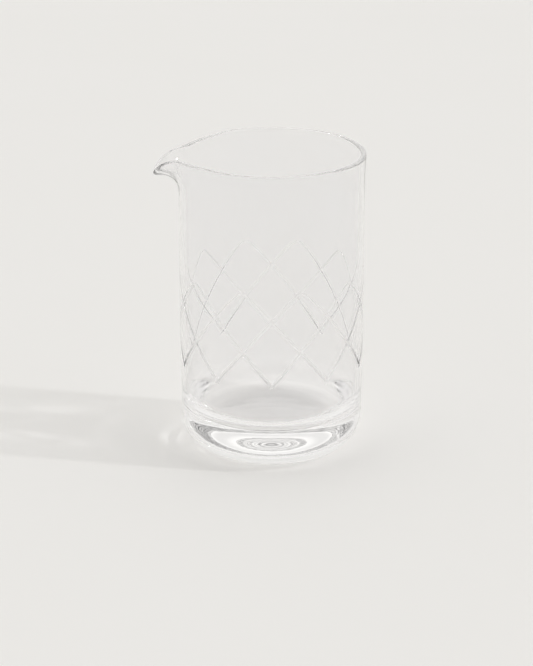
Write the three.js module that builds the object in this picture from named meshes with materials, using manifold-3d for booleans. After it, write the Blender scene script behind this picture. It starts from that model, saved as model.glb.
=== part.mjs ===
// Mixing glass: a seamless bar vessel made from one gather of clear glass, with a thick base,
// a straight wall, a beak spout pulled from the hot rim, and a diamond lattice cut into the wall.
// Millimetres, +Z up. The glass stands on z = 0, its axis is the Z axis and its spout points along -X.

import * as THREE from "three";
import { mergeVertices } from "three/addons/utils/BufferGeometryUtils.js";
import Module from "manifold-3d";

// Overall size
const HEIGHT = 150;
const BODY_RADIUS = 45;
const WALL = 2.8;

// Base: a flat foot, a full heel outside that follows a superellipse, and a round fillet inside
const HEEL_WIDTH = 18.6; // from the edge of the foot to the wall
const HEEL_HEIGHT = 21;
const HEEL_POWER = 2.34; // 2 makes the heel a quarter ellipse, more makes it squarer
const HEEL_INSET = 0.5; // the wall is this much narrower at the heel than half way up
const INSET_HEIGHT = 75; // height at which the wall has its full radius
const FLOOR_HEIGHT = 19;
const FILLET_RADIUS = 14;

// Lip: the top of the wall, a sheet of even thickness that bends by an angle that depends on the azimuth
const LIP_DEPTH = 21; // height of the sheet that bends
const LIP_WALL = 2.7;
const BEND_LENGTH = 17.5; // length of the bend, measured along the sheet
const FLARE = THREE.MathUtils.degToRad(2.8);
const SPOUT_BEND = THREE.MathUtils.degToRad(87);
const SPOUT_HALF_ANGLE = THREE.MathUtils.degToRad(10.8);
const SPOUT_SHARPNESS = 1.75;
const PINCH_BEND = THREE.MathUtils.degToRad(8); // the rim leans in on both sides of the spout
const PINCH_AZIMUTH = THREE.MathUtils.degToRad(43);
const PINCH_WIDTH = THREE.MathUtils.degToRad(15);
const DIP = 1; // the rim is this much lower on both flanks of the spout
const DIP_AZIMUTH = THREE.MathUtils.degToRad(20);
const DIP_WIDTH = THREE.MathUtils.degToRad(22);

// Lattice: equal V-shaped grooves, each an arch with two long straight legs that cross the other arches
const ARCHES = 10;
const ARCH_TOP = 92; // height of the arch tips
const ARCH_SLOPE = 52.7; // drop in mm per radian of azimuth along a leg
const ARCH_ROUNDING = THREE.MathUtils.degToRad(4);
const ARCH_REACH = THREE.MathUtils.degToRad(57); // each leg ends just past its third crossing
const FIRST_ARCH = 0; // azimuth of one arch tip, which puts another one under the spout
const GROOVE_WIDTH = 1.1;
const GROOVE_DEPTH = 0.25;
const GROOVE_CLEARANCE = 0.3; // the cutter stands this far out of the wall
const RUN_OUT = THREE.MathUtils.degToRad(6); // the cut rises out of the glass over this angle at both ends

// Fineness of the faceted surface
const COLUMNS = 72;
const COLUMN_CROWDING = 0.55; // 0 spaces the columns evenly, towards 1 crowds them at the spout
const HEEL_STEPS = 6;
const FILLET_STEPS = 5;
const INSET_STEPS = 2;
const LIP_STEPS = 6;
const RIM_STEPS = 4;
const GROOVE_STEPS = 24;
const TANGENT_STEP = 0.01; // azimuth step used to find the direction of a groove

const SPOUT_AZIMUTH = Math.PI;

const wasm = await Module();
wasm.setup();

// Outer radius of the wall at height z.
function wallRadius(z) {
  const part = THREE.MathUtils.clamp((z - HEEL_HEIGHT) / (INSET_HEIGHT - HEEL_HEIGHT), 0, 1);
  return BODY_RADIUS - HEEL_INSET * (1 - Math.sin((part * Math.PI) / 2));
}

// Smooth hump of height 1 on both sides of the spout.
function hump(away, azimuth, width) {
  return Math.exp(-Math.pow((Math.abs(away) - azimuth) / width, 2));
}

// Angle in radians that the end of the lip leans outward, at an angle away from the spout's middle.
function lipLean(away) {
  const spout = Math.exp(-Math.pow(Math.abs(away) / SPOUT_HALF_ANGLE, SPOUT_SHARPNESS));
  return FLARE + SPOUT_BEND * spout - PINCH_BEND * hump(away, PINCH_AZIMUTH, PINCH_WIDTH);
}

// Points along the middle of the bent lip, each with the angle that the sheet leans there.
function lipMiddle(away) {
  const lean = lipLean(away);
  const length = LIP_DEPTH - LIP_WALL / 2 - DIP * hump(away, DIP_AZIMUTH, DIP_WIDTH);
  const step = length / LIP_STEPS;
  const points = [{ r: BODY_RADIUS - WALL / 2, z: HEIGHT - LIP_DEPTH, lean: 0 }];
  for (let i = 1; i <= LIP_STEPS; i++) {
    const before = points[i - 1];
    const halfway = lean * THREE.MathUtils.smoothstep((i - 0.5) * step, 0, BEND_LENGTH);
    points.push({
      r: before.r + step * Math.sin(halfway),
      z: before.z + step * Math.cos(halfway),
      lean: lean * THREE.MathUtils.smoothstep(i * step, 0, BEND_LENGTH),
    });
  }
  return points;
}

// Point beside the middle of the sheet: offset is positive on the outside of the glass.
function besideMiddle(middle, offset) {
  return [middle.r + offset * Math.cos(middle.lean), middle.z - offset * Math.sin(middle.lean)];
}

// Arc of (radius, height) points about a centre, from one angle to another.
function arc(centreR, centreZ, radius, from, to, steps) {
  const points = [];
  for (let i = 0; i <= steps; i++) {
    const angle = from + ((to - from) * i) / steps;
    points.push([centreR + radius * Math.cos(angle), centreZ + radius * Math.sin(angle)]);
  }
  return points;
}

// Heel from the edge of the foot up to the wall, as (radius, height) points on a quarter superellipse.
function heel() {
  const points = [];
  for (let i = 0; i <= HEEL_STEPS; i++) {
    const angle = (Math.PI / 2) * (i / HEEL_STEPS);
    const out = Math.pow(Math.sin(angle), 2 / HEEL_POWER);
    const down = Math.pow(Math.max(Math.cos(angle), 0), 2 / HEEL_POWER);
    points.push([wallRadius(0) - HEEL_WIDTH * (1 - out), HEEL_HEIGHT * (1 - down)]);
  }
  return points;
}

// Whole section at one azimuth: the middle of the foot, up the outside, down to the middle of the floor.
function section(away) {
  const wall = [];
  for (let i = 1; i <= INSET_STEPS; i++) {
    const z = THREE.MathUtils.lerp(HEEL_HEIGHT, INSET_HEIGHT, i / INSET_STEPS);
    wall.push([wallRadius(z), z]);
  }
  const middle = lipMiddle(away);
  const end = middle[LIP_STEPS];
  const half = (i) => THREE.MathUtils.lerp(WALL, LIP_WALL, i / LIP_STEPS) / 2;
  const outside = middle.map((m, i) => besideMiddle(m, half(i)));
  const inside = middle.map((m, i) => besideMiddle(m, -half(i)));
  const rim = arc(end.r, end.z, LIP_WALL / 2, -end.lean, Math.PI - end.lean, RIM_STEPS).slice(1, -1);
  const filletTop = FLOOR_HEIGHT + FILLET_RADIUS;
  const floorRadius = wallRadius(filletTop) - WALL - FILLET_RADIUS;
  const fillet = arc(floorRadius, filletTop, FILLET_RADIUS, 0, -Math.PI / 2, FILLET_STEPS);
  return [[0, 0], ...heel(), ...wall, ...outside, ...rim, ...inside.reverse(), ...fillet, [0, FLOOR_HEIGHT]];
}

// Azimuths of the columns, crowded around the spout.
function columnAzimuths() {
  const azimuths = [];
  for (let i = 0; i < COLUMNS; i++) {
    const even = (2 * Math.PI * i) / COLUMNS;
    azimuths.push(even - COLUMN_CROWDING * Math.sin(even) + SPOUT_AZIMUTH);
  }
  return azimuths;
}

// Closed skin over the sections: rows of points joined from column to column, with fans at both ends.
function vesselGeometry() {
  const columns = columnAzimuths().map((azimuth) => {
    const away = Math.atan2(Math.sin(azimuth - SPOUT_AZIMUTH), Math.cos(azimuth - SPOUT_AZIMUTH));
    return section(away).map(([r, z]) => [r * Math.cos(azimuth), r * Math.sin(azimuth), z]);
  });
  const rows = columns[0].length;
  const corners = [];
  for (let c = 0; c < COLUMNS; c++) {
    const here = columns[c];
    const next = columns[(c + 1) % COLUMNS];
    for (let row = 0; row < rows - 1; row++) {
      if (row > 0) corners.push(here[row], next[row], here[row + 1]);
      if (row < rows - 2) corners.push(next[row], next[row + 1], here[row + 1]);
    }
  }
  return geometryOf(corners);
}

// Height of an arch's line at an angle away from its tip.
function archHeight(away) {
  const fall = Math.hypot(away, ARCH_ROUNDING) - ARCH_ROUNDING;
  return ARCH_TOP - ARCH_SLOPE * fall;
}

// Point of an arch's line on the surface of the wall.
function archPoint(tip, away) {
  const z = archHeight(away);
  const r = wallRadius(z);
  return new THREE.Vector3(r * Math.cos(tip + away), r * Math.sin(tip + away), z);
}

// Closed V-shaped bar that follows one arch, with its edge under the surface except at its ends.
function grooveCutter(tip) {
  const halfWidth = (GROOVE_WIDTH / 2) * ((GROOVE_DEPTH + GROOVE_CLEARANCE) / GROOVE_DEPTH);
  const rings = [];
  for (let i = 0; i <= GROOVE_STEPS; i++) {
    const away = ARCH_REACH * ((2 * i) / GROOVE_STEPS - 1);
    const fromEnd = ARCH_REACH - Math.abs(away);
    const rise = (GROOVE_DEPTH + GROOVE_CLEARANCE / 3) * Math.pow(1 - Math.min(fromEnd / RUN_OUT, 1), 2);
    const on = archPoint(tip, away);
    const outward = new THREE.Vector3(on.x, on.y, 0).normalize();
    const along = archPoint(tip, away + TANGENT_STEP).sub(archPoint(tip, away - TANGENT_STEP)).normalize();
    const across = new THREE.Vector3().crossVectors(along, outward).normalize();
    const edge = on.clone().addScaledVector(outward, rise - GROOVE_DEPTH);
    const top = on.clone().addScaledVector(outward, rise + GROOVE_CLEARANCE);
    const left = top.clone().addScaledVector(across, halfWidth);
    const right = top.clone().addScaledVector(across, -halfWidth);
    rings.push([edge, left, right]);
  }
  const corners = [];
  for (let i = 0; i < GROOVE_STEPS; i++) {
    for (let side = 0; side < 3; side++) {
      const other = (side + 1) % 3;
      corners.push(rings[i][side], rings[i + 1][side], rings[i][other]);
      corners.push(rings[i][other], rings[i + 1][side], rings[i + 1][other]);
    }
  }
  const [firstEdge, firstLeft, firstRight] = rings[0];
  const [lastEdge, lastLeft, lastRight] = rings[GROOVE_STEPS];
  corners.push(firstEdge, firstLeft, firstRight);
  corners.push(lastEdge, lastRight, lastLeft);
  return geometryOf(corners.map((corner) => corner.toArray()));
}

// BufferGeometry of loose triangles, given as a flat list of corners.
function geometryOf(corners) {
  const positions = new THREE.Float32BufferAttribute(corners.flat(), 3);
  return new THREE.BufferGeometry().setAttribute("position", positions);
}

// manifold-3d solid of a closed geometry.
function solidOf(geometry) {
  const merged = mergeVertices(geometry, 1e-4);
  const triVerts = new Uint32Array(merged.index.array);
  const vertProperties = merged.attributes.position.array;
  return new wasm.Manifold(new wasm.Mesh({ numProp: 3, vertProperties, triVerts }));
}

// BufferGeometry of a manifold-3d solid.
function geometryFrom(solid) {
  const mesh = solid.getMesh();
  return new THREE.BufferGeometry()
    .setAttribute("position", new THREE.BufferAttribute(mesh.vertProperties, 3))
    .setIndex(new THREE.BufferAttribute(mesh.triVerts, 1));
}

// The one piece of glass: the vessel with all the arches cut out of its wall.
function glassVessel() {
  let solid = solidOf(vesselGeometry());
  for (let i = 0; i < ARCHES; i++) {
    const tip = FIRST_ARCH + (2 * Math.PI * i) / ARCHES;
    solid = solid.subtract(solidOf(grooveCutter(tip)));
  }
  const clearGlass = new THREE.MeshStandardMaterial({
    color: 0xeef2f1,
    roughness: 0.03,
    metalness: 0,
    transparent: true,
    opacity: 0.35,
  });
  const mesh = new THREE.Mesh(geometryFrom(solid), clearGlass);
  mesh.name = "glass_vessel";
  return mesh;
}

const mixingGlass = new THREE.Group();
mixingGlass.name = "mixing_glass";
mixingGlass.add(glassVessel());

export default mixingGlass;
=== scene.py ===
"""Looks of the mixing glass: one seamless piece of clear cut glass on a pale board, seen from above."""
import math

import bmesh
import bpy
import numpy as np
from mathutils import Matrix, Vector


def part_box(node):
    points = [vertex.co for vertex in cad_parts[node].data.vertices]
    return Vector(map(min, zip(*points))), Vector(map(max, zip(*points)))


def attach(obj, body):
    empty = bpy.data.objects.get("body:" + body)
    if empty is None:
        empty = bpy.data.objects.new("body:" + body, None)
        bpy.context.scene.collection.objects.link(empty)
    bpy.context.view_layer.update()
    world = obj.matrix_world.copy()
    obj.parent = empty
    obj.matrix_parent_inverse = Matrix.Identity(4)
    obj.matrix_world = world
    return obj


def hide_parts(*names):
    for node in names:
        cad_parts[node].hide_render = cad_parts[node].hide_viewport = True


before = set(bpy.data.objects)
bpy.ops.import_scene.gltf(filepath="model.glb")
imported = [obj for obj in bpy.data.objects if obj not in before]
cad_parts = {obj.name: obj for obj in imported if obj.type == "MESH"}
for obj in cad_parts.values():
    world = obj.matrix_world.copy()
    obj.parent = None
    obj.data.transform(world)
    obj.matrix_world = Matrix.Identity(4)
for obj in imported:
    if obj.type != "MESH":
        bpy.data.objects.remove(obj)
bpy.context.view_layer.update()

# Lengths are in millimetres. The CAD piece's own height says how long a millimetre is in the frame.
HEIGHT = 150.0
LOW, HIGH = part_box("glass_vessel")
MM = (HIGH.z - LOW.z) / HEIGHT
BASE_Z = LOW.z

BODY_RADIUS = 45.0
WALL = 2.8

# Base: a flat foot, a full heel outside that follows a superellipse, and a round fillet inside.
# Between the heel and INSET_HEIGHT the wall drifts out by HEEL_INSET.
HEEL_WIDTH = 18.6
HEEL_HEIGHT = 21.0
HEEL_POWER = 2.34
HEEL_INSET = 0.5
INSET_HEIGHT = 75.0
FLOOR_HEIGHT = 19.0
FILLET_RADIUS = 14.0

# Lip: a sheet that bends outwards by FLARE, far more at the spout, and less at a pinch on either side.
# The rim dips a little beside the spout.
LIP_DEPTH = 21.0
LIP_WALL = 2.7
BEND_LENGTH = 17.5
FLARE = math.radians(2.8)
SPOUT_AZIMUTH = math.pi
SPOUT_BEND = math.radians(87)
SPOUT_HALF_ANGLE = math.radians(10.8)
SPOUT_SHARPNESS = 1.75
PINCH_BEND = math.radians(8)
PINCH_AZIMUTH = math.radians(43)
PINCH_WIDTH = math.radians(15)
DIP = 1.0
DIP_AZIMUTH = math.radians(20)
DIP_WIDTH = math.radians(22)

# Lattice: equal V-shaped grooves, each an arch with two long legs; ARCH_SLOPE is the fall per radian.
ARCHES = 10
ARCH_TOP = 92.0
ARCH_SLOPE = 52.7
ARCH_ROUNDING = math.radians(4)
ARCH_REACH = math.radians(57)

# A groove has its full width and depth at the height of the heel and is TIP_DEPTH deep at the tip.
GROOVE_WIDTH = 2.2
GROOVE_DEPTH = 0.5
TIP_DEPTH = 0.15
GROOVE_EDGE = 0.06
RUN_OUT = math.radians(6)
RUN_OUT_CLEARANCE = 0.1
CUTTER_SPREAD = 1.3
TANGENT_STEP = 0.001
LEAST_CUT = 0.012

# Fineness of the visible mesh; COLUMN_CROWDING draws the columns together at the spout.
COLUMNS = 288
COLUMN_CROWDING = 0.4
HEEL_STEPS = 32
WALL_STEPS = 12
LIP_STEPS = 30
RIM_STEPS = 24
FLOOR_STEPS = 6
FOOT_STEPS = 6
GROOVE_STEPS = 120
GROOVE_SIDES = 8
SHARP_ANGLE = math.radians(9)

# Glass. The noises' scales are in waves per metre.
GLASS_TINT = (0.98, 0.977, 0.976, 1)
GLASS_TINT_COOL = (0.966, 0.968, 0.978, 1)
GLASS_IOR = 1.5
GROOVE_SATIN = 0.34
TINT_WAVES = 25
WALL_WAVES = 90
WAVE_STRETCH = (1, 1, 0.15)
WAVE_DEPTH = 0.02
NOISE_DETAIL = 2

# Board
BOARD_HALF_SIDE = 30.0  # metres, so that its edge is never in view
BOARD_DROP = 0.05
BOARD_COLOUR = (0.885, 0.88, 0.87, 1)
BOARD_COLOUR_WARM = (0.875, 0.868, 0.853, 1)
BOARD_ROUGHNESS = 0.6
BOARD_SPECULAR = 0.2
DRIFT_WAVES = 6
GRAIN_WAVES = 900
GRAIN_DEPTH = 0.015

# Room: pale, brighter overhead, with one dark patch high in front that the thick base shows as dark lines.
# TOP_* are heights of a unit direction; DARK_* are cosines of the angle to DARK_TOWARDS.
ROOM_COLOUR = (0.86, 0.85, 0.83, 1)
ROOM_TOP = (1.17, 1.155, 1.125, 1)
TOP_FROM = 0.3
TOP_TO = 0.9
DARK_COLOUR = (0.01, 0.011, 0.02, 1)
DARK_TOWARDS = (0, -0.6, 0.8)
DARK_FROM = 0.82
DARK_TO = 0.93

# Key light
KEY_AZIMUTH = math.radians(-12)
KEY_ELEVATION = math.radians(32)
KEY_ANGLE = math.radians(3)
KEY_STRENGTH = 0.5

# Camera, level from side to side and aimed at a point close to the axis of the glass
CAMERA_DISTANCE = 1250.0
CAMERA_PITCH = math.radians(19.78)
CAMERA_SIDE = -2.55
CAMERA_AIM_HEIGHT = 57.3
CAMERA_LENS = 137.2
CAMERA_SENSOR = 36

# Light paths: glass this thick sends light round and round inside before it gets out.
MOST_BOUNCES = 64
LIGHT_CLAMP = 20.0


def smooth_step(x):
    x = np.clip(x, 0, 1)
    return x * x * (3 - 2 * x)


def wall_radius(z):
    """Outside radius of the wall at a height."""
    part = np.clip((z - HEEL_HEIGHT) / (INSET_HEIGHT - HEEL_HEIGHT), 0, 1)
    return BODY_RADIUS - HEEL_INSET * (1 - np.sin(part * math.pi / 2))


def hump(away, azimuth, width):
    """Smooth bump, the same on both sides of the spout; away is the azimuth away from the spout."""
    return np.exp(-(((np.abs(away) - azimuth) / width) ** 2))


def lip_lean(away):
    """Angle by which the lip has turned outwards at the rim."""
    spout = np.exp(-((np.abs(away) / SPOUT_HALF_ANGLE) ** SPOUT_SHARPNESS))
    return FLARE + SPOUT_BEND * spout - PINCH_BEND * hump(away, PINCH_AZIMUTH, PINCH_WIDTH)


def lip_middle(away):
    """Radius, height and lean along the middle of the bent lip, as rows, for every azimuth at once."""
    lean = lip_lean(away)
    length = LIP_DEPTH - LIP_WALL / 2 - DIP * hump(away, DIP_AZIMUTH, DIP_WIDTH)
    step = length / LIP_STEPS
    r = [np.full_like(away, BODY_RADIUS - WALL / 2)]
    z = [np.full_like(away, HEIGHT - LIP_DEPTH)]
    turned = [np.zeros_like(away)]
    for i in range(1, LIP_STEPS + 1):
        halfway = lean * smooth_step((i - 0.5) * step / BEND_LENGTH)
        r.append(r[-1] + step * np.sin(halfway))
        z.append(z[-1] + step * np.cos(halfway))
        turned.append(lean * smooth_step(i * step / BEND_LENGTH))
    return np.array(r), np.array(z), np.array(turned)


def arc(centre_r, centre_z, radius, start, end, steps):
    """Rows of radius and height on an arc; start and end may differ from azimuth to azimuth."""
    part = np.linspace(0, 1, steps + 1)[:, None]
    angle = start + (end - start) * part
    return centre_r + radius * np.cos(angle), centre_z + radius * np.sin(angle)


def heel():
    """Rows from the edge of the foot up to the wall, on a quarter superellipse."""
    angle = np.linspace(0, math.pi / 2, HEEL_STEPS + 1)[:, None]
    out = np.sin(angle) ** (2 / HEEL_POWER)
    down = np.clip(np.cos(angle), 0, 1) ** (2 / HEEL_POWER)
    return wall_radius(0) - HEEL_WIDTH * (1 - out), HEEL_HEIGHT * (1 - down)


def sections(away):
    """Radius and height of the whole section, as rows, for every azimuth.

    The rows run from the middle of the foot over the heel, outside, rim, inside and fillet to the
    middle of the bowl's floor.
    """
    every = np.ones_like(away)
    heel_r, heel_z = heel()
    foot_r = np.linspace(0, heel_r[0, 0], FOOT_STEPS + 1)[:-1, None]
    wall_z = np.linspace(HEEL_HEIGHT, HEIGHT - LIP_DEPTH, WALL_STEPS + 1)[1:-1, None]
    mid_r, mid_z, lean = lip_middle(away)
    half = (WALL + (LIP_WALL - WALL) * np.linspace(0, 1, LIP_STEPS + 1)[:, None]) / 2
    out_r, out_z = mid_r + half * np.cos(lean), mid_z - half * np.sin(lean)
    in_r, in_z = mid_r - half * np.cos(lean), mid_z + half * np.sin(lean)
    rim_r, rim_z = arc(mid_r[-1], mid_z[-1], LIP_WALL / 2, -lean[-1], math.pi - lean[-1], RIM_STEPS)
    fillet_top = FLOOR_HEIGHT + FILLET_RADIUS
    bore_z = np.linspace(HEIGHT - LIP_DEPTH, fillet_top, WALL_STEPS + 1)[1:-1, None]
    floor_radius = wall_radius(fillet_top) - WALL - FILLET_RADIUS
    fillet_r, fillet_z = arc(floor_radius, fillet_top, FILLET_RADIUS, 0, -math.pi / 2, HEEL_STEPS)
    floor_r = np.linspace(floor_radius, 0, FLOOR_STEPS + 1)[1:, None]
    stretches = [
        (foot_r, np.zeros_like(foot_r)),
        (heel_r, heel_z),
        (wall_radius(wall_z), wall_z),
        (out_r, out_z),
        (rim_r[1:-1], rim_z[1:-1]),
        (in_r[::-1], in_z[::-1]),
        (wall_radius(bore_z) - WALL, bore_z),
        (fillet_r, fillet_z),
        (floor_r, np.full_like(floor_r, FLOOR_HEIGHT)),
    ]
    return np.vstack([r * every for r, _ in stretches]), np.vstack([z * every for _, z in stretches])


def mesh_object(name, points, faces):
    mesh = bpy.data.meshes.new(name)
    mesh.from_pydata([tuple(p) for p in points], [], faces)
    mesh.update()
    obj = bpy.data.objects.new(name, mesh)
    bpy.context.scene.collection.objects.link(obj)
    return obj


def to_frame(x, y, z):
    """Millimetres to the frame's metres, as rows of points."""
    return np.stack([x * MM, y * MM, z * MM + BASE_Z], axis=-1)


def uncut_vessel():
    """Closed skin of the vessel before the lattice is cut."""
    even = 2 * math.pi * np.arange(COLUMNS) / COLUMNS
    away = even - COLUMN_CROWDING * np.sin(even)
    away = np.arctan2(np.sin(away), np.cos(away))
    azimuth = away + SPOUT_AZIMUTH
    r, z = sections(away)
    points = to_frame(r * np.cos(azimuth), r * np.sin(azimuth), z)
    rings = points[1:-1]
    verts = np.vstack([points[0, :1], rings.reshape(-1, 3), points[-1, :1]])
    first_ring = 1
    last_ring = first_ring + (len(rings) - 1) * COLUMNS
    floor_middle = len(verts) - 1
    faces = []
    for column in range(COLUMNS):
        beside = (column + 1) % COLUMNS
        faces.append((0, first_ring + beside, first_ring + column))
        for ring in range(first_ring, last_ring, COLUMNS):
            above = ring + COLUMNS
            faces.append((ring + column, ring + beside, above + beside, above + column))
        faces.append((last_ring + column, last_ring + beside, floor_middle))
    return mesh_object("glass_body", verts, faces)


def arch_height(away):
    """Height of an arch at an azimuth away from its tip."""
    return ARCH_TOP - ARCH_SLOPE * (np.hypot(away, ARCH_ROUNDING) - ARCH_ROUNDING)


def arch_points(tip, away):
    """Points of the arch with its tip at azimuth tip, on the outside of the wall."""
    z = arch_height(away)
    r = wall_radius(z)
    return np.stack([r * np.cos(tip + away), r * np.sin(tip + away), z], axis=-1)


def groove_rise(away, z):
    """How far a groove's bottom has come up from its full depth: gently to the tip, fast at its ends."""
    from_end = ARCH_REACH - np.abs(away)
    run_out = (GROOVE_DEPTH + RUN_OUT_CLEARANCE) * (1 - np.clip(from_end / RUN_OUT, 0, 1)) ** 2
    return run_out + (GROOVE_DEPTH - TIP_DEPTH) * (z - HEEL_HEIGHT) / (ARCH_TOP - HEEL_HEIGHT)


def groove_cutter(tip):
    """Closed bar that follows one arch; its section is a V with a slightly rounded edge."""
    away = np.linspace(-ARCH_REACH, ARCH_REACH, GROOVE_STEPS + 1)
    on = arch_points(tip, away)
    along = arch_points(tip, away + TANGENT_STEP) - arch_points(tip, away - TANGENT_STEP)
    along /= np.linalg.norm(along, axis=1, keepdims=True)
    outward = on * [1, 1, 0]
    outward /= np.linalg.norm(outward, axis=1, keepdims=True)
    across = np.cross(along, outward)
    across /= np.linalg.norm(across, axis=1, keepdims=True)
    steep = 2 * GROOVE_DEPTH / GROOVE_WIDTH
    side = np.linspace(-1, 1, GROOVE_SIDES + 1) * CUTTER_SPREAD * GROOVE_WIDTH / 2
    lift = np.sqrt((side * steep) ** 2 + GROOVE_EDGE**2) - GROOVE_EDGE - GROOVE_DEPTH
    height = lift[None, :] + groove_rise(away, on[:, 2])[:, None]
    rings = on[:, None] + across[:, None] * side[None, :, None] + outward[:, None] * height[:, :, None]
    per_ring = GROOVE_SIDES + 1
    last_ring = GROOVE_STEPS * per_ring
    faces = []
    for ring in range(0, last_ring, per_ring):
        beyond = ring + per_ring
        for j in range(per_ring):
            k = (j + 1) % per_ring
            faces.append((ring + j, ring + k, beyond + k, beyond + j))
    faces.append(tuple(reversed(range(per_ring))))
    faces.append(tuple(range(last_ring, last_ring + per_ring)))
    points = rings.reshape(-1, 3)
    return mesh_object("cutter", to_frame(points[:, 0], points[:, 1], points[:, 2]), faces)


def face_outward(obj):
    bm = bmesh.new()
    bm.from_mesh(obj.data)
    bmesh.ops.recalc_face_normals(bm, faces=bm.faces)
    bm.to_mesh(obj.data)
    bm.free()


def mark_grooves(mesh):
    """Face attribute that is 1 on the cut faces, which lie under the skin, and 0 on the rest."""
    mark = mesh.attributes.new("groove", "FLOAT", "FACE")
    for face in mesh.polygons:
        z = (face.center.z - BASE_Z) / MM
        depth = wall_radius(z) - math.hypot(face.center.x, face.center.y) / MM
        mark.data[face.index].value = HEEL_HEIGHT < z < ARCH_TOP and LEAST_CUT < depth < WALL / 2


def glass_vessel():
    """The vessel with every arch cut out of its wall."""
    body = uncut_vessel()
    face_outward(body)
    cutters = [groove_cutter(2 * math.pi * i / ARCHES) for i in range(ARCHES)]
    for cutter in cutters:
        face_outward(cutter)
        cut = body.modifiers.new("cut", "BOOLEAN")
        cut.operation = "DIFFERENCE"
        cut.solver = "MANIFOLD"
        cut.object = cutter
    bpy.context.view_layer.update()
    evaluated = body.evaluated_get(bpy.context.evaluated_depsgraph_get())
    done = bpy.data.meshes.new_from_object(evaluated)
    body.modifiers.clear()
    body.data = done
    for cutter in cutters:
        bpy.data.objects.remove(cutter)
    for face in done.polygons:
        face.use_smooth = True
    done.set_sharp_from_angle(angle=SHARP_ANGLE)
    mark_grooves(done)
    return body


def ramp(nodes, links, value, start, end):
    """Smooth step of a socket from 0 to 1."""
    node = nodes.new("ShaderNodeMapRange")
    node.interpolation_type = "SMOOTHSTEP"
    node.inputs["From Min"].default_value = start
    node.inputs["From Max"].default_value = end
    links.new(value, node.inputs["Value"])
    return node.outputs["Result"]


def blend(nodes, links, factor, first, second):
    """Mix of two colours; each is a value or a socket."""
    node = nodes.new("ShaderNodeMix")
    node.data_type = "RGBA"
    links.new(factor, node.inputs["Factor"])
    for name, colour in (("A", first), ("B", second)):
        socket = next(i for i in node.inputs if i.name == name and i.type == "RGBA")
        if isinstance(colour, tuple):
            socket.default_value = colour
        else:
            links.new(colour, socket)
    return next(o for o in node.outputs if o.type == "RGBA")


def noise(nodes, links, scale, stretch=(1, 1, 1)):
    """Soft noise over the object, in waves per metre; stretch below 1 draws it out along that axis."""
    coord = nodes.new("ShaderNodeTexCoord")
    mapping = nodes.new("ShaderNodeMapping")
    mapping.inputs["Scale"].default_value = stretch
    texture = nodes.new("ShaderNodeTexNoise")
    texture.inputs["Scale"].default_value = scale
    texture.inputs["Detail"].default_value = NOISE_DETAIL
    links.new(coord.outputs["Object"], mapping.inputs["Vector"])
    links.new(mapping.outputs["Vector"], texture.inputs["Vector"])
    return texture.outputs["Fac"]


def add_bump(nodes, links, shader, height, depth):
    """Bump from a height of 0 to 1 that stands for depth millimetres."""
    bump = nodes.new("ShaderNodeBump")
    bump.inputs["Strength"].default_value = 1
    bump.inputs["Distance"].default_value = depth * MM
    links.new(height, bump.inputs["Height"])
    links.new(bump.outputs["Normal"], shader.inputs["Normal"])


def principled(name):
    mat = bpy.data.materials.new(name)
    mat.use_nodes = True
    nodes = mat.node_tree.nodes
    return mat, nodes, mat.node_tree.links, nodes["Principled BSDF"]


def glass_material():
    """Clear glass with the faint upright waves of a hand-made wall, and satin faces in the cuts."""
    mat, nodes, links, shader = principled("clear_glass")
    tint = blend(nodes, links, noise(nodes, links, TINT_WAVES), GLASS_TINT, GLASS_TINT_COOL)
    links.new(tint, shader.inputs["Base Color"])
    groove = nodes.new("ShaderNodeAttribute")
    groove.attribute_name = "groove"
    satin = nodes.new("ShaderNodeMath")
    satin.operation = "MULTIPLY"
    satin.inputs[1].default_value = GROOVE_SATIN
    links.new(groove.outputs["Fac"], satin.inputs[0])
    links.new(satin.outputs["Value"], shader.inputs["Roughness"])
    shader.inputs["IOR"].default_value = GLASS_IOR
    shader.inputs["Transmission Weight"].default_value = 1
    add_bump(nodes, links, shader, noise(nodes, links, WALL_WAVES, WAVE_STRETCH), WAVE_DEPTH)
    return mat


def board_material():
    """Painted board: matt, with a fine grain and a slow drift in its white."""
    mat, nodes, links, shader = principled("pale_board")
    drift = blend(nodes, links, noise(nodes, links, DRIFT_WAVES), BOARD_COLOUR, BOARD_COLOUR_WARM)
    links.new(drift, shader.inputs["Base Color"])
    shader.inputs["Roughness"].default_value = BOARD_ROUGHNESS
    shader.inputs["Specular IOR Level"].default_value = BOARD_SPECULAR
    add_bump(nodes, links, shader, noise(nodes, links, GRAIN_WAVES), GRAIN_DEPTH)
    return mat


def add_floor():
    """Wide board just under the foot."""
    side = BOARD_HALF_SIDE
    corners = [(-side, -side), (side, -side), (side, side), (-side, side)]
    height = BASE_Z - BOARD_DROP * MM
    floor = mesh_object("floor", [(x, y, height) for x, y in corners], [(0, 1, 2, 3)])
    floor.data.materials.append(board_material())
    return floor


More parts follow.
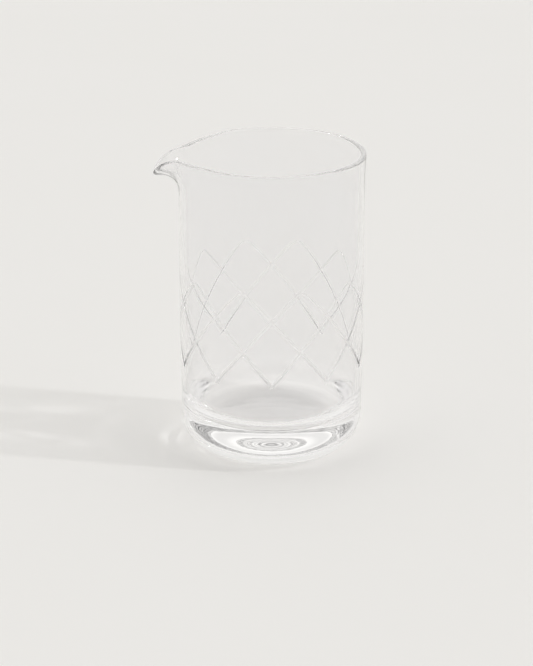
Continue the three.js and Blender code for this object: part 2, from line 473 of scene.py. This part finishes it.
def add_world():
    """Soft light from a pale room with one dark patch."""
    world = bpy.data.worlds.new("studio")
    bpy.context.scene.world = world
    world.use_nodes = True
    nodes, links = world.node_tree.nodes, world.node_tree.links
    coord = nodes.new("ShaderNodeTexCoord")
    direction = coord.outputs["Generated"]
    towards = nodes.new("ShaderNodeVectorMath")
    towards.operation = "DOT_PRODUCT"
    towards.inputs[1].default_value = DARK_TOWARDS
    links.new(direction, towards.inputs[0])
    dark = ramp(nodes, links, towards.outputs["Value"], DARK_FROM, DARK_TO)
    split = nodes.new("ShaderNodeSeparateXYZ")
    links.new(direction, split.inputs["Vector"])
    above = ramp(nodes, links, split.outputs["Z"], TOP_FROM, TOP_TO)
    room = blend(nodes, links, above, ROOM_COLOUR, ROOM_TOP)
    links.new(blend(nodes, links, dark, room, DARK_COLOUR), nodes["Background"].inputs["Color"])


def add_key(vessel, floor):
    """Small distant lamp on the right; its light goes through the glass and draws streaks on the board."""
    light = bpy.data.lights.new("key", "SUN")
    light.angle = KEY_ANGLE
    light.energy = KEY_STRENGTH
    light.cycles.is_caustics_light = True
    vessel.cycles.is_caustics_caster = True
    floor.cycles.is_caustics_receiver = True
    lamp = bpy.data.objects.new("key", light)
    flat = math.cos(KEY_ELEVATION)
    towards = (flat * math.cos(KEY_AZIMUTH), flat * math.sin(KEY_AZIMUTH), math.sin(KEY_ELEVATION))
    lamp.rotation_euler = Vector(towards).to_track_quat("Z", "Y").to_euler()
    bpy.context.scene.collection.objects.link(lamp)


def add_camera():
    data = bpy.data.cameras.new("camera")
    data.lens = CAMERA_LENS
    data.sensor_width = CAMERA_SENSOR
    camera = bpy.data.objects.new("camera", data)
    back = CAMERA_DISTANCE * math.cos(CAMERA_PITCH)
    up = CAMERA_AIM_HEIGHT + CAMERA_DISTANCE * math.sin(CAMERA_PITCH)
    camera.location = Vector((CAMERA_SIDE, -back, up)) * MM
    camera.rotation_euler = (math.pi / 2 - CAMERA_PITCH, 0, 0)
    bpy.context.scene.collection.objects.link(camera)
    bpy.context.scene.camera = camera


def set_up_view():
    """Plain colours, and light paths long enough for thick glass."""
    scene = bpy.context.scene
    scene.view_settings.view_transform = "Standard"
    scene.cycles.max_bounces = MOST_BOUNCES
    scene.cycles.transmission_bounces = MOST_BOUNCES
    scene.cycles.glossy_bounces = MOST_BOUNCES
    scene.cycles.blur_glossy = 0.0
    scene.cycles.sample_clamp_indirect = LIGHT_CLAMP
    scene.cycles.use_denoising = True


vessel = glass_vessel()
vessel.name = "glass_vessel_visual"
vessel.data.materials.clear()
vessel.data.materials.append(glass_material())
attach(vessel, "root")
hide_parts("glass_vessel")

board = add_floor()
add_world()
add_key(vessel, board)
add_camera()
set_up_view()
